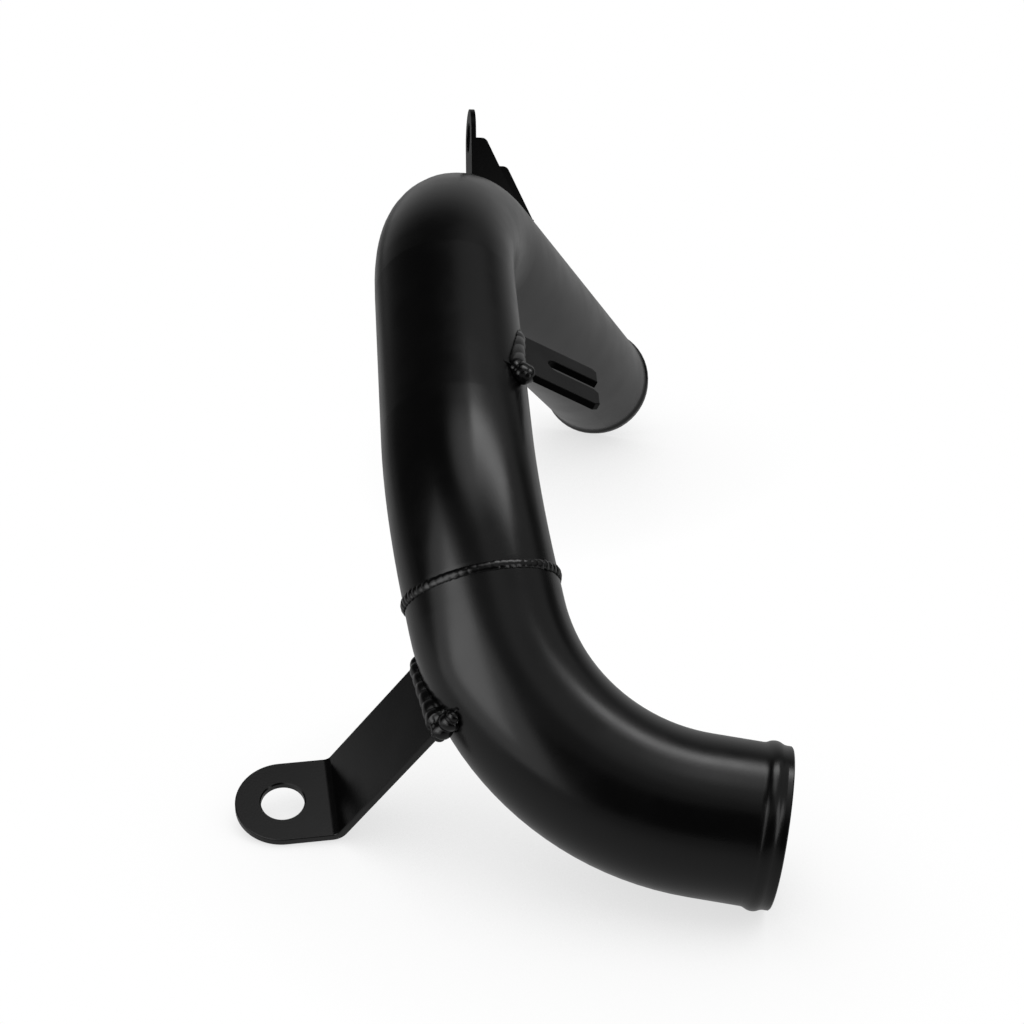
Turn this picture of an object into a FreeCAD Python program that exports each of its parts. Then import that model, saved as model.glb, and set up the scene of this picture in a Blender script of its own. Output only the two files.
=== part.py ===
import FreeCAD, Part
import os
import Sketcher

doc = FreeCAD.newDocument("turbo_outlet_pipe")

# Driving sizes in millimetres and degrees
SIZES = [
    ("tube_od", "57"),
    ("tube_wall", "2"),
    ("far_leg", "250.2"),
    ("top_radius", "91"),
    ("top_angle", "60.4"),
    ("front_leg", "81.4"),
    ("gentle_radius", "150"),
    ("gentle_angle", "24.6"),
    ("upper_land", "3"),
    ("elbow_land", "10"),
    ("elbow_radius", "91"),
    ("elbow_angle", "68.5"),
    ("elbow_twist_angle", "72.7"),
    ("outlet_leg", "28"),
    ("bead_setback", "6"),
    ("bead_width", "6"),
    ("bead_height", "1.1"),
    ("bead_root", "3"),
    ("hollow_width", "5"),
    ("hollow_height", "0.7"),
    ("rim_break", "0.4"),
    ("girth_width", "4"),
    ("girth_height", "0.8"),
    ("strip_width", "35"),
    ("strip_thickness", "3"),
    ("strip_hole", "16"),
    ("strip_fold_angle", "58"),
    ("strip_fold_radius", "3"),
    ("strip_tab", "18.3"),
    ("strip_root", "62.7"),
    ("strip_buried", "15.3"),
    ("strip_station_angle", "11.3"),
    ("strip_around_angle", "91.4"),
    ("strip_lift", "1"),
    ("strip_turn_angle", "-40.8"),
    ("strip_tilt_angle", "25.6"),
    ("strip_slant_angle", "-10.6"),
    ("strip_bead_shift", "1.4"),
    ("strip_bead_angle", "-8.4"),
    ("strip_edge_at", "6.5"),
    ("strip_edge_run", "15"),
    ("strip_leg", "3"),
    ("hole_break", "0.5"),
    ("fork_width", "33"),
    ("fork_thickness", "3"),
    ("fork_reach", "34.4"),
    ("fork_buried", "8"),
    ("fork_slot", "8.5"),
    ("fork_slot_depth", "21.9"),
    ("fork_slot_shift", "-1.3"),
    ("fork_corner", "2"),
    ("fork_station", "49.1"),
    ("fork_around_angle", "6.2"),
    ("fork_lift", "0.6"),
    ("fork_turn_angle", "33.9"),
    ("fork_tilt_angle", "15.2"),
    ("fork_slant_angle", "12.5"),
    ("fork_bead_shift", "-0.9"),
    ("fork_bead_angle", "0"),
    ("fork_edge_at", "2"),
    ("fork_edge_run", "10"),
    ("fork_leg", "2.2"),
    ("tab_width", "26"),
    ("tab_thickness", "2.2"),
    ("tab_hole", "13.2"),
    ("tab_station", "230.8"),
    ("tab_rise", "32.1"),
    ("tab_roll_angle", "13.1"),
    ("tab_shift", "-7.7"),
    ("tab_yaw_angle", "22"),
    ("wall_near_drop", "4.7"),
    ("wall_near_reach", "6.6"),
    ("wall_far_drop", "9.1"),
    ("wall_far_reach", "19"),
    ("wall_slope_angle", "24.5"),
    ("wall_corner", "3"),
    ("wall_sunk", "16.5"),
    ("near_bead_from_angle", "-16"),
    ("near_bead_sweep_angle", "38"),
    ("far_bead_from_angle", "-16"),
    ("far_bead_sweep_angle", "52"),
    ("edge_leg", "2.6"),
    ("tab_leg", "2"),
    ("edge_round", "0.4"),
    ("rest_yaw_angle", "-108.2249"),
    ("rest_pitch_angle", "-31.7322"),
    ("rest_roll_angle", "-64.4844"),
    ("rest_x", "45.597"),
    ("rest_y", "243.781"),
    ("rest_z", "24.029"),
]
# Sizes that follow from the driving ones
DERIVED = [
    ("tube_radius", "=tube_od / 2"),
    ("bore_radius", "=tube_od / 2 - tube_wall"),
    ("half_wall", "=tube_wall / 2"),
    ("front_x", "=far_leg + top_radius * sin(top_angle * 1 deg)"),
    ("front_y", "=top_radius * (1 - cos(top_angle * 1 deg))"),
    ("weld_angle", "=top_angle + gentle_angle"),
    ("bent_x", "=gentle_radius * (sin(weld_angle * 1 deg) - sin(top_angle * 1 deg))"),
    ("bent_y", "=gentle_radius * (cos(top_angle * 1 deg) - cos(weld_angle * 1 deg))"),
    ("land_x", "=front_x + front_leg * cos(top_angle * 1 deg) + bent_x"),
    ("land_y", "=front_y + front_leg * sin(top_angle * 1 deg) + bent_y"),
    ("weld_x", "=land_x + upper_land * cos(weld_angle * 1 deg)"),
    ("weld_y", "=land_y + upper_land * sin(weld_angle * 1 deg)"),
    ("elbow_x", "=elbow_land + elbow_radius * sin(elbow_angle * 1 deg)"),
    ("elbow_y", "=elbow_radius * (1 - cos(elbow_angle * 1 deg))"),
    ("outlet_x", "=elbow_x + outlet_leg * cos(elbow_angle * 1 deg)"),
    ("outlet_y", "=elbow_y + outlet_leg * sin(elbow_angle * 1 deg)"),
    ("fold_inset", "=strip_fold_radius * tan(strip_fold_angle * 0.5 deg)"),
    ("fold_x", "=strip_tab - fold_inset"),
    ("fold_run", "=strip_root + strip_buried - fold_inset"),
    ("fold_outer", "=strip_fold_radius + strip_thickness"),
    ("corner_run", "=wall_corner * tan(45 deg - wall_slope_angle * 0.5 deg)"),
    ("tab_height", "=tube_radius + tab_rise"),
    ("foot", "=-tab_rise - wall_sunk"),
    ("wall_middle", "=tab_width / 2 - tab_thickness / 2"),
    ("axis_shift", "=tab_shift / cos(tab_yaw_angle * 1 deg)"),
    ("axis_turn", "=wall_middle * tan(tab_yaw_angle * 1 deg)"),
]
dims = doc.addObject("Spreadsheet::Sheet", "dims")
for row, (alias, text) in enumerate(SIZES + DERIVED, start=1):
    dims.set("A%d" % row, alias)
    dims.set("B%d" % row, text)
    dims.setAlias("B%d" % row, alias)
doc.recompute()


def value(expression):
    return float(dims.evalExpression(expression))


def body(label):
    made = doc.addObject("PartDesign::Body", label)
    made.Label = label
    return made


def sketch(owner, name, role):
    made = owner.newObject("Sketcher::SketchObject", name)
    plane = [f for f in owner.Origin.OriginFeatures if f.Role == role][0]
    made.AttachmentSupport = [(plane, "")]
    made.MapMode = "FlatFace"
    made.Visibility = False
    return made


def drive(sk, kind, *args):
    *where, name, expression = args
    amount = value(expression)
    if kind == "Angle":
        amount = FreeCAD.Units.Quantity("%.9f deg" % amount).getValueAs("rad").Value
    index = sk.addConstraint(Sketcher.Constraint(kind, *where, amount))
    sk.renameConstraint(index, name)
    sk.setExpression("Constraints." + name, expression + (" * 1 deg" if kind == "Angle" else ""))


def at(x, y):
    return FreeCAD.Vector(value(x), value(y), 0)


# Closed outline through driven corners, a side is straight or bowed through a middle point
def outline(sk, corners, bows, tag="p"):
    spots = [at(x, y) for x, y in corners]
    sides = []
    ends = []
    for k, start in enumerate(spots):
        end = spots[(k + 1) % len(spots)]
        curve = Part.LineSegment(start, end)
        order = (1, 2)
        if k in bows:
            middle = at(*bows[k][0])
            curve = Part.Arc(start, middle, end)
            if (middle - start).cross(end - middle).z < 0:
                curve = Part.Arc(end, middle, start)
                order = (2, 1)
        sides.append(sk.addGeometry(curve, False))
        ends.append(order)
    for k, side in enumerate(sides):
        after = (k + 1) % len(sides)
        sk.addConstraint(Sketcher.Constraint("Coincident", side, ends[k][1], sides[after], ends[after][0]))
    for k, (x, y) in enumerate(corners):
        drive(sk, "DistanceX", -1, 1, sides[k], ends[k][0], "%s%d_x" % (tag, k), x)
        drive(sk, "DistanceY", -1, 1, sides[k], ends[k][0], "%s%d_y" % (tag, k), y)
    for k in bows:
        if len(bows[k]) == 3:
            kind, amount = bows[k][2]
            drive(sk, kind, -1, 1, sides[k], 3, "%s%d_hub" % (tag, k), amount)
        else:
            drive(sk, "Radius", sides[k], "%s%d_bow" % (tag, k), bows[k][1])


def circle(sk, name, radius):
    ring = sk.addGeometry(Part.Circle(at("0", "0"), FreeCAD.Vector(0, 0, 1), value(radius)), False)
    sk.addConstraint(Sketcher.Constraint("Coincident", ring, 3, -1, 1))
    drive(sk, "Radius", ring, name, radius)


def pad(owner, name, profile, length, symmetric=False):
    made = owner.newObject("PartDesign::Pad", name)
    made.Profile = profile
    made.setExpression("Length", length)
    if symmetric:
        made.SideType = "Symmetric"
    return made


def dress(owner, kind, name, picked, amount):
    doc.recompute()
    last = owner.Tip
    names = []
    for k, edge in enumerate(last.Shape.Edges, start=1):
        if picked(edge):
            names.append("Edge%d" % k)
    made = owner.newObject("PartDesign::" + kind, name)
    made.Base = (last, names)
    made.setExpression("Radius" if kind == "Fillet" else "Size", amount)
    return made


# A drawn-out circle follows a chain of straights and bends that leaves the origin along X
def tube(owner, steps):
    section = sketch(owner, owner.Name + "_section", "YZ_Plane")
    circle(section, "outside", "dims.tube_radius")
    circle(section, "inside", "dims.bore_radius")
    path = sketch(owner, owner.Name + "_path", "XY_Plane")
    here = FreeCAD.Placement()
    heading = "0"
    last = None
    for step in steps:
        start = here.Base
        if len(step) == 1:
            here = here.multiply(FreeCAD.Placement(at("dims." + step[0], "0"), FreeCAD.Rotation()))
            edge = path.addGeometry(Part.LineSegment(start, here.Base), False)
            if last is None:
                path.addConstraint(Sketcher.Constraint("Coincident", edge, 1, -1, 1))
                path.addConstraint(Sketcher.Constraint("Horizontal", edge))
            else:
                path.addConstraint(Sketcher.Constraint("Tangent", last, 2, edge, 1))
                drive(path, "Angle", edge, step[0] + "_heading", "(" + heading + ")")
            drive(path, "Distance", edge, step[0] + "_run", "dims." + step[0])
        else:
            radius, turn = ("dims." + s for s in step)
            hub = here.multiply(FreeCAD.Placement(at("0", radius), FreeCAD.Rotation()))
            spins = []
            for share in (0.5, 1.0):
                spin = FreeCAD.Rotation(FreeCAD.Vector(0, 0, 1), value(turn) * share)
                arm = FreeCAD.Placement(at("0", "-" + radius), FreeCAD.Rotation())
                spins.append(hub.multiply(FreeCAD.Placement(at("0", "0"), spin)).multiply(arm))
            here = spins[1]
            edge = path.addGeometry(Part.Arc(start, spins[0].Base, here.Base), False)
            path.addConstraint(Sketcher.Constraint("Tangent", last, 2, edge, 1))
            drive(path, "Radius", edge, step[0] + "_bend", radius)
            heading = heading + " + " + turn
        last = edge
    swept = owner.newObject("PartDesign::AdditivePipe", owner.Name + "_sweep")
    swept.Profile = section
    swept.Spine = (path, ["Edge%d" % k for k in range(1, len(steps) + 1)])
    return swept


# A band with a bowed crown on a tube surface, turned about the axis of its sketch
def band(owner, kind, name, middle, floor, base, width, rise, offset=None):
    half = "%s / 2" % width
    sk = sketch(owner, name + "_outline", "XY_Plane")
    low, high = "%s - %s" % (middle, half), "%s + %s" % (middle, half)
    corners = [(low, floor), (high, floor), (high, base), (low, base)]
    bow = "(%s ^ 2 + (%s) ^ 2) / (2 * %s)" % (rise, half, rise)
    outline(sk, corners, {2: ((middle, "%s + %s" % (base, rise)), bow)})
    if offset:
        sk.setExpression("AttachmentOffset", offset)
    made = owner.newObject("PartDesign::" + kind, name)
    made.Profile = sk
    made.ReferenceAxis = (sk, ["H_Axis"])
    made.Angle = 360
    return made


# Rolled hose bead with its hollow inside, soft roots and a broken rim
def hose_end(owner, middle, offset, frame):
    name = owner.Name
    inside = "dims.tube_radius - dims.half_wall"
    band(
        owner, "Revolution", name + "_bead", middle, inside, "dims.tube_radius",
        "dims.bead_width", "dims.bead_height", offset,
    )
    reach = "dims.bore_radius - dims.half_wall"
    band(
        owner, "Groove", name + "_hollow", middle, reach, "dims.bore_radius",
        "dims.hollow_width", "dims.hollow_height", offset,
    )
    outer = value("dims.tube_radius")
    inner = value("dims.bore_radius")
    place = value(middle)
    half = value("dims.bead_width / 2")

    def ring(edge, radius, station):
        if not isinstance(edge.Curve, Part.Circle) or abs(edge.Curve.Radius - radius) > 0.01:
            return False
        return frame().multVec(edge.Curve.Center).distanceToPoint(FreeCAD.Vector(station, 0, 0)) < 0.05

    dress(
        owner, "Fillet", name + "_bead_root",
        lambda e: ring(e, outer, place - half) or ring(e, outer, place + half), "dims.bead_root",
    )
    dress(
        owner, "Chamfer", name + "_rim",
        lambda e: ring(e, outer, 0) or ring(e, inner, 0), "dims.rim_break",
    )


# Rod with round ends that becomes a fillet weld once the tube and the plate are taken out of it
def rod(name, length, radius, where):
    made = body(name)
    sk = sketch(made, name + "_outline", "XY_Plane")
    half = "(%s) / 2" % length
    inset = "%s - (%s)" % (half, radius)
    bend = "(%s) * sqrt(0.5)" % radius
    corners = [("-" + half, "0"), (half, "0"), (inset, radius), ("-(%s)" % inset, radius)]
    bows = {
        1: (("%s + %s" % (inset, bend), bend), radius),
        3: (("-(%s + %s)" % (inset, bend), bend), radius),
    }
    outline(sk, corners, bows)
    turned = made.newObject("PartDesign::Revolution", name + "_turned")
    turned.Profile = sk
    turned.ReferenceAxis = (sk, ["H_Axis"])
    turned.Angle = 360
    made.setExpression("Placement", where)
    return made


def cut(label, base, tool):
    made = doc.addObject("Part::Cut", label)
    made.Base = base
    made.Tool = tool
    made.Label = label
    return made


def spin(axis, angle):
    return "placement(vector(0; 0; 0); rotation(vector(%s); %s))" % (axis, angle)


def shift(x, y, z):
    return "placement(vector(%s; %s; %s); rotation(0; 0; 0))" % (x, y, z)


# Upper pipe: far leg, top bend, front leg and gentle bend in one plane
upper = body("upper_pipe")
tube(
    upper,
    [
        ("far_leg",),
        ("top_radius", "top_angle"),
        ("front_leg",),
        ("gentle_radius", "gentle_angle"),
        ("upper_land",),
    ],
)
hose_end(upper, "dims.bead_setback", None, FreeCAD.Placement)
upper.setExpression(
    "Placement",
    "placement(vector(dims.rest_x; dims.rest_y; dims.rest_z);"
    " rotation(dims.rest_yaw_angle; dims.rest_pitch_angle; dims.rest_roll_angle))",
)

# Lower elbow, turned about the weld out of the upper pipe's plane
elbow = body("lower_elbow")
tube(elbow, [("elbow_land",), ("elbow_radius", "elbow_angle"), ("outlet_leg",)])


def from_outlet():
    turn = FreeCAD.Rotation(FreeCAD.Vector(0, 0, 1), value("dims.elbow_angle"))
    return FreeCAD.Placement(at("dims.outlet_x", "dims.outlet_y"), turn).inverse()


hose_end(
    elbow,
    "-dims.bead_setback",
    "placement(vector(dims.outlet_x; dims.outlet_y; 0); rotation(vector(0; 0; 1); dims.elbow_angle))",
    from_outlet,
)
elbow.setExpression(
    "Placement",
    "upper_pipe.Placement * " + shift("dims.weld_x", "dims.weld_y", "0")
    + " * " + spin("0; 0; 1", "dims.weld_angle") + " * " + spin("1; 0; 0", "dims.elbow_twist_angle"),
)

# Girth weld over the joint of the two tubes
girth = body("girth_weld")
girth_outline = sketch(girth, "girth_outline", "XY_Plane")
outline(
    girth_outline,
    [("-dims.girth_width / 2", "dims.tube_radius"), ("dims.girth_width / 2", "dims.tube_radius")],
    {
        1: (
            ("0", "dims.tube_radius + dims.girth_height"),
            "(dims.girth_height ^ 2 + (dims.girth_width / 2) ^ 2) / (2 * dims.girth_height)",
        )
    },
)
girth_ring = girth.newObject("PartDesign::Revolution", "girth_ring")
girth_ring.Profile = girth_outline
girth_ring.ReferenceAxis = (girth_outline, ["H_Axis"])
girth_ring.Angle = 360
girth.setExpression("Placement", "lower_elbow.Placement")

# Outsides of the far leg, top bend, front leg and elbow, used to cope the brackets and welds
far_core = doc.addObject("Part::Cylinder", "far_core")
far_core.setExpression("Height", "dims.far_leg")
far_core.setExpression("Placement", "upper_pipe.Placement * " + spin("0; 1; 0", "90"))
front_core = doc.addObject("Part::Cylinder", "front_core")
front_core.setExpression("Height", "dims.front_leg")
LEG = (
    "upper_pipe.Placement * " + shift("dims.front_x", "dims.front_y", "0")
    + " * " + spin("0; 0; 1", "dims.top_angle")
)
front_core.setExpression("Placement", LEG + " * " + spin("0; 1; 0", "90"))
for core in (far_core, front_core):
    core.setExpression("Radius", "dims.tube_radius")
top_core = doc.addObject("Part::Torus", "top_core")
top_core.setExpression("Radius1", "dims.top_radius")
top_core.setExpression(
    "Placement", "upper_pipe.Placement * " + shift("dims.far_leg", "dims.top_radius", "0")
)
elbow_core = doc.addObject("Part::Torus", "elbow_core")
elbow_core.setExpression("Radius1", "dims.elbow_radius")
for core in (top_core, elbow_core):
    core.setExpression("Radius2", "dims.tube_radius")
elbow_core.setExpression(
    "Placement", "lower_elbow.Placement * " + shift("dims.elbow_land", "dims.elbow_radius", "0")
)


# Plate root on the tube surface: X along the plate, Y across it along the tube, Z through it
def plate_root(section, key):
    return (
        section + " * " + spin("1; 0; 0", "dims.%s_around_angle" % key)
        + " * " + shift("0", "0", "dims.tube_radius + dims.%s_lift" % key)
        + " * " + spin("1; 0; 0", "dims.%s_turn_angle" % key) + " * " + spin("1; 1; 0", "180")
        + " * " + spin("1; 0; 0", "-dims.%s_tilt_angle" % key)
        + " * " + spin("0; 0; 1", "dims.%s_slant_angle" % key)
    )


# Lower bracket: strip folded once, round end, one hole
strip = body("strip_blank")
strip_side = sketch(strip, "strip_side", "XZ_Plane")
S = "sin(dims.strip_fold_angle * 1 deg)"
C = "cos(dims.strip_fold_angle * 1 deg)"
HALF_S = "sin(dims.strip_fold_angle * 0.5 deg)"
HALF_C = "cos(dims.strip_fold_angle * 0.5 deg)"
R_IN = "dims.strip_fold_radius"
R_OUT = "dims.fold_outer"


def on_fold(radius, s, c):
    return ("dims.fold_x + %s * %s" % (radius, s), "%s * %s - dims.strip_fold_radius" % (radius, c))


face_x, face_z = on_fold(R_IN, S, C)
back_x, back_z = on_fold(R_OUT, S, C)
run_x = " + dims.fold_run * " + C
run_z = " - dims.fold_run * " + S
outline(
    strip_side,
    [
        ("-dims.strip_width / 2", "0"),
        ("dims.fold_x", "0"),
        (face_x, face_z),
        (face_x + run_x, face_z + run_z),
        (back_x + run_x, back_z + run_z),
        (back_x, back_z),
        ("dims.fold_x", "dims.strip_thickness"),
        ("-dims.strip_width / 2", "dims.strip_thickness"),
    ],
    {1: (on_fold(R_IN, HALF_S, HALF_C), R_IN), 5: (on_fold(R_OUT, HALF_S, HALF_C), R_OUT)},
)
pad(strip, "strip_pad", strip_side, "dims.strip_width", True)
strip_end = sketch(strip, "strip_end", "XY_Plane")
EDGE = "dims.strip_width / 2"
PAST = "dims.strip_width / 2 + dims.strip_thickness"
outline(
    strip_end,
    [
        ("-(%s)" % PAST, "-(%s)" % PAST),
        ("0", "-(%s)" % PAST),
        ("0", "-" + EDGE),
        ("0", EDGE),
        ("0", PAST),
        ("-(%s)" % PAST, PAST),
    ],
    {2: (("-" + EDGE, "0"), EDGE, ("DistanceX", "0"))},
)
circle(strip_end, "hole", "dims.strip_hole / 2")
strip_cut = strip.newObject("PartDesign::Pocket", "strip_cut")
strip_cut.Profile = strip_end
strip_cut.Type = "ThroughAll"
strip_cut.SideType = "Symmetric"


def hole_edge(alias):
    radius = value(alias) / 2
    return lambda e: isinstance(e.Curve, Part.Circle) and abs(e.Curve.Radius - radius) < 0.01


dress(strip, "Chamfer", "strip_hole_break", hole_edge("dims.strip_hole"), "dims.hole_break")


def strip_rim(edge):
    if abs(edge.Length - value("dims.strip_thickness")) < 0.01:
        return False
    side = value("dims.strip_width / 2")
    for spot in (edge.valueAt(edge.FirstParameter), edge.valueAt(edge.LastParameter)):
        if abs(abs(spot.y) - side) > 0.01:
            return False
    return isinstance(edge.Curve, Part.Circle) or abs(edge.tangentAt(edge.FirstParameter).y) < 0.5


dress(strip, "Fillet", "strip_edges", strip_rim, "dims.edge_round")
BEND = (
    "lower_elbow.Placement * " + shift("dims.elbow_land", "dims.elbow_radius", "0")
    + " * " + spin("0; 0; 1", "dims.strip_station_angle") + " * " + shift("0", "-dims.elbow_radius", "0")
)
STRIP_ROOT = plate_root(BEND, "strip")
strip.setExpression(
    "Placement",
    STRIP_ROOT + " * " + shift("-dims.strip_root", "0", "0")
    + " * " + spin("0; 1; 0", "-dims.strip_fold_angle") + " * " + shift("-dims.strip_tab", "0", "0"),
)
lower_bracket = cut("lower_bracket", strip, elbow_core)

# Fork bracket: plate with an open slot, three prong corners cut off
fork = body("fork_blank")
fork_face = sketch(fork, "fork_face", "XY_Plane")
TIP = "dims.fork_reach"
SIDE = "dims.fork_width / 2"
BACK = "dims.fork_reach - dims.fork_corner"
TOP = "dims.fork_slot_shift - dims.fork_slot / 2"
BOTTOM = "dims.fork_slot_shift + dims.fork_slot / 2"
THROAT = "dims.fork_reach - dims.fork_slot_depth"
outline(
    fork_face,
    [
        ("-dims.fork_buried", "-" + SIDE),
        (BACK, "-" + SIDE),
        (TIP, "dims.fork_corner - " + SIDE),
        (TIP, TOP),
        (THROAT + " + dims.fork_slot / 2", TOP),
        (THROAT + " + dims.fork_slot / 2", BOTTOM),
        (BACK, BOTTOM),
        (TIP, BOTTOM + " + dims.fork_corner"),
        (TIP, SIDE + " - dims.fork_corner"),
        (BACK, SIDE),
        ("-dims.fork_buried", SIDE),
    ],
    {
        4: (
            (THROAT, "dims.fork_slot_shift"),
            "dims.fork_slot / 2",
            ("DistanceX", THROAT + " + dims.fork_slot / 2"),
        )
    },
)
pad(fork, "fork_pad", fork_face, "dims.fork_thickness")


def fork_rim(edge):
    first = edge.valueAt(edge.FirstParameter)
    last = edge.valueAt(edge.LastParameter)
    buried = value("dims.fork_buried")
    return abs(first.z - last.z) < 0.01 and max(first.x, last.x) > 0.01 - buried


dress(fork, "Fillet", "fork_edges", fork_rim, "dims.edge_round")
fork.setExpression("Placement", plate_root(LEG + " * " + shift("dims.fork_station", "0", "0"), "fork"))
fork_bracket = cut("fork_bracket", fork, front_core)

# Upper bracket: standing tab with one hole between two side walls
stand = body("stand_blank")
tab_face = sketch(stand, "tab_face", "XY_Plane")
WIDE = "dims.tab_width / 2"
outline(
    tab_face,
    [("-" + WIDE, "dims.foot"), (WIDE, "dims.foot"), (WIDE, "0"), ("-" + WIDE, "0")],
    {2: (("0", WIDE), WIDE, ("DistanceY", "0"))},
)
circle(tab_face, "hole", "dims.tab_hole / 2")
pad(stand, "tab_pad", tab_face, "dims.tab_thickness")
SLOPE_S = "sin(dims.wall_slope_angle * 1 deg)"
SLOPE_C = "cos(dims.wall_slope_angle * 1 deg)"
CORNER_S = "sin(45 deg - dims.wall_slope_angle * 0.5 deg)"
CORNER_C = "cos(45 deg - dims.wall_slope_angle * 0.5 deg)"
for key, base in (("near", "-dims.tab_width / 2"), ("far", "dims.tab_width / 2 - dims.tab_thickness")):
    wall = sketch(stand, key + "_wall", "YZ_Plane")
    top = "-dims.wall_%s_drop" % key
    reach = "dims.wall_%s_reach" % key
    start = reach + " - dims.corner_run"
    toe = reach + " + (%s - dims.foot) * tan(dims.wall_slope_angle * 1 deg)" % top
    outline(
        wall,
        [
            ("dims.foot", "0"),
            (top, "0"),
            (top, start),
            (top + " - dims.corner_run * " + SLOPE_C, reach + " + dims.corner_run * " + SLOPE_S),
            ("dims.foot", toe),
        ],
        {
            2: (
                (
                    top + " - dims.wall_corner * (1 - %s)" % CORNER_C,
                    start + " + dims.wall_corner * " + CORNER_S,
                ),
                "dims.wall_corner",
            )
        },
    )
    wall.setExpression("AttachmentOffset", shift("0", "0", base))
    pad(stand, key + "_wall_pad", wall, "dims.tab_thickness")
stand.setExpression(
    "Placement",
    "upper_pipe.Placement * " + shift("dims.tab_station", "0", "0")
    + " * " + spin("1; 0; 0", "-dims.tab_roll_angle") + " * " + spin("0; 0; 1", "180")
    + " * " + shift("0", "dims.tab_height", "dims.tab_shift") + " * " + spin("0; 1; 0", "dims.tab_yaw_angle"),
)
dress(stand, "Chamfer", "tab_hole_break", hole_edge("dims.tab_hole"), "dims.hole_break")
upper_bracket = cut("upper_bracket", cut("stand_coped", stand, far_core), top_core)

# Round bead on an arc, its arc centred on the origin of its place
def bowed(name, bow, radius, start, sweep, where):
    made = doc.addObject("Part::Torus", name)
    made.setExpression("Radius1", bow)
    made.setExpression("Radius2", radius)
    made.setExpression("Angle3", sweep)
    made.setExpression("Placement", where + " * " + spin("0; 0; 1", start))
    return made


# Beads cut back to the pipe one by one, then joined and cut back to the bracket
def weld(name, beads, cores, bracket):
    coped = []
    for bead in beads:
        bare = bead
        for core in cores:
            bare = cut("%s_on_%s" % (bead.Name, core.Name), bare, core)
        coped.append(bare)
    joined = doc.addObject("Part::MultiFuse", name + "_beads")
    joined.Shapes = coped
    return cut(name, joined, bracket)


# Fillet weld at a plate's root: a run across its face and a short one along its lower edge
def root_beads(key, root):
    thick = "dims.%s_thickness / 2" % key
    face = rod(
        key + "_face_bead",
        "dims.%s_width + 2 * dims.%s_leg" % (key, key),
        thick + " + dims.%s_leg" % key,
        root + " * " + shift("dims.%s_bead_shift" % key, "0", thick)
        + " * " + spin("0; 0; 1", "90 + dims.%s_bead_angle" % key),
    )
    edge = rod(
        key + "_edge_bead",
        "dims.%s_edge_run" % key,
        thick + " + dims.edge_leg",
        root + " * " + shift("dims.%s_edge_at" % key, "dims.%s_width / 2" % key, thick),
    )
    return [face, edge]


lower_weld = weld("lower_bracket_weld", root_beads("strip", STRIP_ROOT), [elbow_core], lower_bracket)
fork_beads = root_beads("fork", "fork_blank.Placement")
fork_weld = weld("fork_bracket_weld", fork_beads, [front_core], fork_bracket)
THIN = "dims.tab_thickness / 2 + dims.tab_leg"
beads = [
    rod(
        "tab_rod",
        "dims.tab_width + 2 * dims.tab_leg",
        THIN,
        "stand_blank.Placement * " + shift("0", "-dims.tab_rise", "dims.tab_thickness / 2"),
    )
]
for key, sign in (("near", "-"), ("far", "")):
    across = shift(sign + "dims.wall_middle", "-dims.tab_height", sign + "dims.axis_turn - dims.axis_shift")
    beads.append(
        bowed(
            key + "_rod",
            "dims.tube_radius",
            THIN,
            "dims.%s_bead_from_angle" % key,
            "dims.%s_bead_sweep_angle" % key,
            "stand_blank.Placement * " + across + " * " + spin("1; 1; 1", "120"),
        )
    )
upper_weld = weld("upper_bracket_weld", beads, [far_core, top_core], upper_bracket)

doc.recompute()
NODES = [
    upper,
    elbow,
    girth,
    lower_bracket,
    lower_weld,
    fork_bracket,
    fork_weld,
    upper_bracket,
    upper_weld,
]
for obj in doc.Objects:
    if "Invalid" in obj.State or "Error" in obj.State:
        raise RuntimeError("feature failed: " + obj.Label)
for node in NODES:
    if node.Shape.isNull() or not node.Shape.isValid():
        raise RuntimeError("bad shape: " + node.Label)

os.makedirs("parts", exist_ok=True)
for node in NODES:
    node.Shape.exportStep("parts/%s.step" % node.Label)
    print(node.Label, len(node.Shape.Solids), round(node.Shape.Volume, 1))
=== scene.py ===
import math

import bpy
import numpy as np
from mathutils import Matrix, Vector


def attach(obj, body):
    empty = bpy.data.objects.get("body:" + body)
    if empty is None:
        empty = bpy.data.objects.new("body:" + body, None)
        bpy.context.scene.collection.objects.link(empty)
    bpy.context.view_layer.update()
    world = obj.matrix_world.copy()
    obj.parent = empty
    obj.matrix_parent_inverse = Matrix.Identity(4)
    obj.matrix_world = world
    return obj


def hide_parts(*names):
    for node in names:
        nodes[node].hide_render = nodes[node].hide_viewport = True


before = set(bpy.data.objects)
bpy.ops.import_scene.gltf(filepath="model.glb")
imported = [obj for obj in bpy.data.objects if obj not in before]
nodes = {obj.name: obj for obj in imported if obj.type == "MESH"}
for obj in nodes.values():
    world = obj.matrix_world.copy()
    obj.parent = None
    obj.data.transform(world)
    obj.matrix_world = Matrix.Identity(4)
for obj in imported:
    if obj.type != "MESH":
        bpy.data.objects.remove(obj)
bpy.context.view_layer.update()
white = (1, 1, 1, 1)


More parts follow.
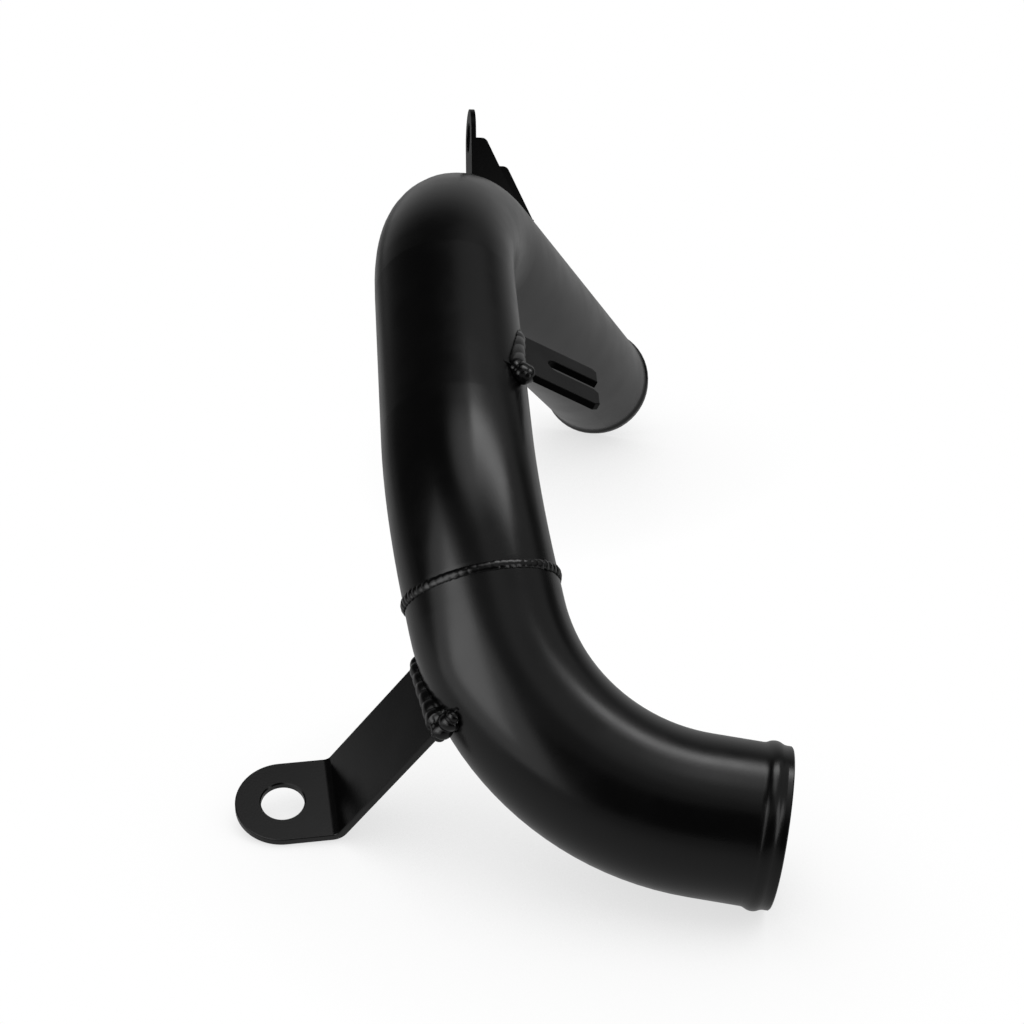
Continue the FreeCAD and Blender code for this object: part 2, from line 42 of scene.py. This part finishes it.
# A socket that does arithmetic by adding shader nodes
class Sock:
    def __init__(self, tree, out=None):
        self.tree = tree
        self.out = out

    def feed(self, node, key):
        self.tree.links.new(self.out, node.inputs[key])

    # Any node: its type, its settings, what its sockets take, and the output to go on with
    def node(self, kind, settings=None, sockets=None, pick=0):
        made = self.tree.nodes.new(kind)
        for name, setting in (settings or {}).items():
            setattr(made, name, setting)
        for key, given in (sockets or {}).items():
            if isinstance(given, Sock):
                given.feed(made, key)
            else:
                made.inputs[key].default_value = given
        return Sock(self.tree, made.outputs[pick])

    def maths(self, how, other, swap=False):
        pair = (other, self) if swap else (self, other)
        return self.node("ShaderNodeMath", {"operation": how}, dict(enumerate(pair)))

    def __add__(self, other):
        return self.maths("ADD", other)

    def __radd__(self, other):
        return self.maths("ADD", other, True)

    def __sub__(self, other):
        return self.maths("SUBTRACT", other)

    def __rsub__(self, other):
        return self.maths("SUBTRACT", other, True)

    def __mul__(self, other):
        return self.maths("MULTIPLY", other)

    def __rmul__(self, other):
        return self.maths("MULTIPLY", other, True)

    def ramp(self, low, high, start=0.0, end=1.0):
        given = {"Value": self, "From Min": low, "From Max": high, "To Min": start, "To Max": end}
        return self.node("ShaderNodeMapRange", {"interpolation_type": "SMOOTHSTEP"}, given)

    def split(self, letters):
        return [self.node("ShaderNodeSeparateXYZ", None, {"Vector": self}, letter) for letter in letters]


# The node of one type that a new material or world starts with
def starting_node(tree, kind):
    return next(node for node in tree.nodes if node.type == kind)


# A new material, and the socket that gives each place on the piece
def new_material(name):
    material = bpy.data.materials.new(name)
    material.use_nodes = True
    return material, Sock(material.node_tree).node("ShaderNodeTexCoord", pick="Object")


cold_tint = 1.04
gloss_patch_scale = 60.0
gloss_patch_detail = 3.0
gloss_patch_band = (0.3, 0.7)
gloss_swing = 0.03
peel_scale = 1400.0
peel_detail = 2.0
peel_depth = 0.0001


# Black powder coat: fine orange peel and slightly uneven gloss
def powder_coat(name, base, rough, peel, shine=0.5):
    material, place = new_material(name)
    shader = starting_node(material.node_tree, "BSDF_PRINCIPLED")
    shader.inputs["Base Color"].default_value = (base, base, base * cold_tint, 1)
    shader.inputs["Specular IOR Level"].default_value = shine
    patch_sockets = {"Vector": place, "Scale": gloss_patch_scale, "Detail": gloss_patch_detail}
    patches = place.node("ShaderNodeTexNoise", None, patch_sockets)
    gloss = patches.ramp(*gloss_patch_band, rough - gloss_swing, rough + gloss_swing)
    gloss.feed(shader, "Roughness")
    grain_sockets = {"Vector": place, "Scale": peel_scale, "Detail": peel_detail}
    grain = place.node("ShaderNodeTexNoise", None, grain_sockets)
    bump_sockets = {"Strength": peel, "Distance": peel_depth, "Height": grain}
    bump = place.node("ShaderNodeBump", None, bump_sockets)
    bump.feed(shader, "Normal")
    return material


coat = powder_coat("satin black powder coat", base=0.0015, rough=0.24, peel=0.15)
plate_coat = powder_coat("duller black powder coat", base=0.001, rough=0.36, peel=0.12, shine=0.09)
weld_coat = powder_coat("satin black powder coat on welds", base=0.0015, rough=0.22, peel=0.08)
finish = {"fork_bracket": plate_coat, "upper_bracket": plate_coat}
for name, node in nodes.items():
    node.data.materials.clear()
    node.data.materials.append(weld_coat if "weld" in name else finish.get(name, coat))


# Directions in which a cloud of points spreads, widest first, and its middle
def spread(points):
    middle = points.mean(axis=0)
    return np.linalg.svd(points - middle, full_matrices=False)[2], middle


# Width of the girth weld: the fine meshes' cell, how far they are let out and the ripples are shares of it
ring = np.array([v.co for v in nodes["girth_weld"].data.vertices])
ring_axes, ring_middle = spread(ring)
bead = np.ptp((ring - ring_middle) @ ring_axes[2])
cells_across = 14
cell = bead / cells_across
seat_share = 0.02
seat = bead * seat_share
lowest_ripple = 0.6
ripple_kinds = 400


# Height of the ripples at each point: rounded crescents, each a little different
def ripples(along, aside, pitch, lag, seed):
    step = along / pitch - lag * aside * aside
    which = np.floor(step).astype(int)
    dice = np.random.default_rng(seed).uniform(lowest_ripple, 1.0, ripple_kinds)
    return dice[which % ripple_kinds] * (1 - (2 * (step - which) - 1) ** 2)


# Fine even mesh of a CAD weld, to carry the ripples
def fine_mesh(name):
    piece = bpy.data.objects.new(name + "_beads", nodes[name].data.copy())
    bpy.context.collection.objects.link(piece)
    piece.matrix_world = nodes[name].matrix_world
    remesh = piece.modifiers.new("even mesh", "REMESH")
    remesh.mode = "VOXEL"
    remesh.voxel_size = cell
    bpy.context.view_layer.update()
    seen = piece.evaluated_get(bpy.context.evaluated_depsgraph_get())
    fine = bpy.data.meshes.new_from_object(seen)
    piece.modifiers.clear()
    piece.data = fine
    piece.data.materials.clear()
    piece.data.materials.append(weld_coat)
    piece.data.shade_smooth()
    return piece


# Number of the weld run that each point belongs to: points joined by edges share one
def weld_runs(mesh):
    ends = np.empty(len(mesh.edges) * 2, np.int32)
    mesh.edges.foreach_get("vertices", ends)
    one, other = ends.reshape(-1, 2).T
    run_of = np.arange(len(mesh.vertices))
    before = None
    while not np.array_equal(before, run_of):
        before = run_of.copy()
        lowest = np.minimum(run_of[one], run_of[other])
        np.minimum.at(run_of, one, lowest)
        np.minimum.at(run_of, other, lowest)
        run_of = run_of[run_of]
    return run_of


# Weld bead that takes the place of its CAD node, with the ripples the torch left
def weld_bead(name, height_at, **ripple_sizes):
    piece = fine_mesh(name)
    count = len(piece.data.vertices)
    points = np.empty(count * 3, np.float32)
    normals = np.empty(count * 3, np.float32)
    piece.data.vertices.foreach_get("co", points)
    piece.data.vertices.foreach_get("normal", normals)
    points = points.reshape(-1, 3).astype(float)
    normals = normals.reshape(-1, 3)
    run_of = weld_runs(piece.data)
    for run in np.unique(run_of):
        own = run_of == run
        points[own] += normals[own] * height_at(points[own], **ripple_sizes)[:, None]
    piece.data.vertices.foreach_set("co", points.astype(np.float32).ravel())
    piece.data.update()
    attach(piece, "root")
    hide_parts(name)


# Ripples round the girth weld, strong at its two sides and faint across its front and back
def girth_ripples(points, pitch, height, sink, faintest, side_start, side_blend):
    axes, middle = spread(points)
    off = points - middle
    east = axes[0]
    north = axes[1]
    axial = off @ axes[2]
    turn = np.arctan2(off @ north, off @ east)
    radius = np.hypot(off @ east, off @ north).max()
    side = np.abs(np.cos(turn) * east[0] + np.sin(turn) * north[0])
    strength = faintest + (1 - faintest) * np.clip((side - side_start) / side_blend, 0, 1)
    ridges = ripples(turn * radius, axial / bead, bead * pitch, lag=0.6, seed=3)
    return seat + bead * (height * strength * ridges - sink)


# Ripples along one plain run
def plain_ripples(points, pitch, height, sink):
    axes, middle = spread(points)
    off = points - middle
    ridges = ripples(off @ axes[0], off @ axes[1] / bead, bead * pitch, lag=0.25, seed=11)
    return seat + bead * (height * ridges - sink)


lump_blend = 0.5
taper_length = 1.6
taper_depth = 0.25


# Ripples along a bracket's straight weld, slimmer at its upper end, and round lumps at its lower end
def root_ripples(points, pitch, height, lump, rise, reach):
    axes, middle = spread(points)
    off = points - middle
    downhill = axes[0] if axes[0][2] < 0 else -axes[0]
    along = off @ downhill
    aside = off @ axes[1] / bead
    lower = along > along.max() - reach * bead
    lump_axes, lump_middle = spread(points[lower])
    lump_along = (points - lump_middle) @ lump_axes[0]
    blend = np.clip((along - along.max() + (reach + lump_blend) * bead) / (lump_blend * bead), 0, 1)
    fine = height * ripples(along, aside, bead * pitch, lag=0.25, seed=5)
    lumps = rise * (ripples(lump_along, 0 * aside, bead * lump, lag=0, seed=8) - 1)
    taper = taper_depth * np.clip(1 - (along - along.min()) / (taper_length * bead), 0, 1)
    return seat + bead * ((1 - blend) * fine + blend * lumps - taper)


# Every size here is a share of the girth weld's width, apart from the strength and place of its sides
weld_bead("girth_weld", girth_ripples, pitch=0.8, height=0.14, sink=0.05,
          faintest=0.25, side_start=0.55, side_blend=0.3)
weld_bead("lower_bracket_weld", root_ripples, pitch=1.3, height=0.12, lump=1.3, rise=0.34, reach=1.8)
weld_bead("fork_bracket_weld", root_ripples, pitch=1.9, height=0.06, lump=1.0, rise=0.09, reach=1.2)
weld_bead("upper_bracket_weld", plain_ripples, pitch=1.1, height=0.12, sink=0.14)


# One strength for the camera's own rays and another for the light that the pipe gets
def two_strengths(start, for_camera, for_pipe):
    ray = start.node("ShaderNodeLightPath", pick="Is Camera Ray")
    return ray * for_camera + (1 - ray) * for_pipe


floor_size = 12
left_fade = (-0.8, -0.15)
front_fade = (-0.5, -0.25)
front_share = 0.55
shadow_reach = 0.1
shadow_samples = 4
shadow_band = (0.1, 1)
deepest_shadow = 0.7


# White for the camera, with a faint soft shadow
# For the pipe it is a dimmer glow that fades to the left and to the front
def white_floor(dark, dim):
    material, place = new_material("white studio floor")
    across, along = place.split("XY")
    glow = across.ramp(*left_fade, dark, dim) * along.ramp(*front_fade, front_share, 1)
    reach = {"Distance": shadow_reach}
    clear = place.node("ShaderNodeAmbientOcclusion", {"samples": shadow_samples}, reach, "AO")
    strength = two_strengths(place, clear.ramp(*shadow_band, deepest_shadow, 1), glow)
    light = place.node("ShaderNodeEmission", None, {"Color": white, "Strength": strength})
    light.feed(starting_node(material.node_tree, "OUTPUT_MATERIAL"), "Surface")
    return material


bpy.ops.mesh.primitive_plane_add(size=floor_size, location=(0, 0, 0))
floor = bpy.context.object
floor.name = "studio floor"
floor.data.materials.append(white_floor(dark=0.1, dim=0.34))


behind_band = (0.6, 1)
right_lean = 0.8
high_right_band = (0.89, 1.05)
high_right_share = 0.75
overhead_band = (0.94, 1)
overhead_share = 2.6


# White for the camera
# For the pipe it is dim behind and high on the right, brighter straight overhead, nearly dark elsewhere
def studio_world(dark, dim):
    world = bpy.data.worlds.new("white studio")
    bpy.context.scene.world = world
    world.use_nodes = True
    toward = Sock(world.node_tree).node("ShaderNodeTexCoord", pick="Generated")
    right, behind, above = toward.split("XYZ")
    high_right = (right_lean * right + above).ramp(*high_right_band, 0, high_right_share * dim)
    overhead = above.ramp(*overhead_band, 0, overhead_share * dim)
    glow = dark + behind.ramp(*behind_band, 0, dim) + (high_right + overhead)
    backdrop = starting_node(world.node_tree, "BACKGROUND")
    backdrop.inputs["Color"].default_value = white
    two_strengths(toward, 1, glow).feed(backdrop, "Strength")


studio_world(dark=0.028, dim=0.35)


# A soft lamp that glows evenly over its face, out of the camera's sight
def softbox(name, place, aim, width, height, glow):
    light = bpy.data.lights.new(name, "AREA")
    light.shape = "RECTANGLE"
    light.size = width
    light.size_y = height
    light.energy = glow * math.pi * width * height
    lamp = bpy.data.objects.new(name, light)
    bpy.context.collection.objects.link(lamp)
    toward = (Vector(aim) - Vector(place)).normalized()
    lamp.matrix_world = Matrix.Translation(place) @ toward.to_track_quat("-Z", "Y").to_matrix().to_4x4()
    lamp.visible_camera = False


# Each lamp's place, aim, width, height and glow
# The two edge lamps stand just behind the lamps that they soften
left_aim = (0.1, -0.137, 0.18)
softbox("left softbox", (-0.148, -0.311, 0.18), left_aim, 0.11, 0.2, 1.5)
softbox("left softbox edge", (-0.149, -0.312, 0.18), left_aim, 0.24, 0.3, 0.75)
softbox("overhead softbox", (0.125, -0.115, 0.35), (0.125, -0.11, 0), 0.2, 0.075, 2.2)
softbox("overhead softbox edge", (0.13, -0.122, 0.351), (0.13, -0.117, 0), 0.21, 0.15, 0.95)
softbox("front softbox", (0.1, -0.7, 0.75), (0, -0.1, 0.1), 0.8, 0.4, 0.13)
softbox("right softbox", (0.42, -0.48, 0.2), (0.09, -0.26, 0.07), 0.14, 0.36, 1.5)

# Camera fitted to the photograph: focal length in pixels, and where it stands and points
image_width = 1024
focal_pixels = 2050
sensor_width = 36
camera_place = (-0.000603, -0.84413, 0.40215)
camera_right = Vector((0.99954, 0.01173, 0.02789))
camera_up = Vector((-0.03026, 0.38748, 0.92138))
camera_back = Vector((0, -0.9218, 0.38766))

camera_data = bpy.data.cameras.new("photo camera")
camera_data.sensor_width = sensor_width
camera_data.lens = sensor_width * focal_pixels / image_width
camera_data.clip_start = 0.05
camera = bpy.data.objects.new("photo camera", camera_data)
bpy.context.collection.objects.link(camera)
turn = Matrix((camera_right, camera_up, camera_back)).transposed().to_4x4()
camera.matrix_world = Matrix.Translation(camera_place) @ turn
bpy.context.scene.camera = camera
bpy.context.scene.view_settings.view_transform = "Standard"
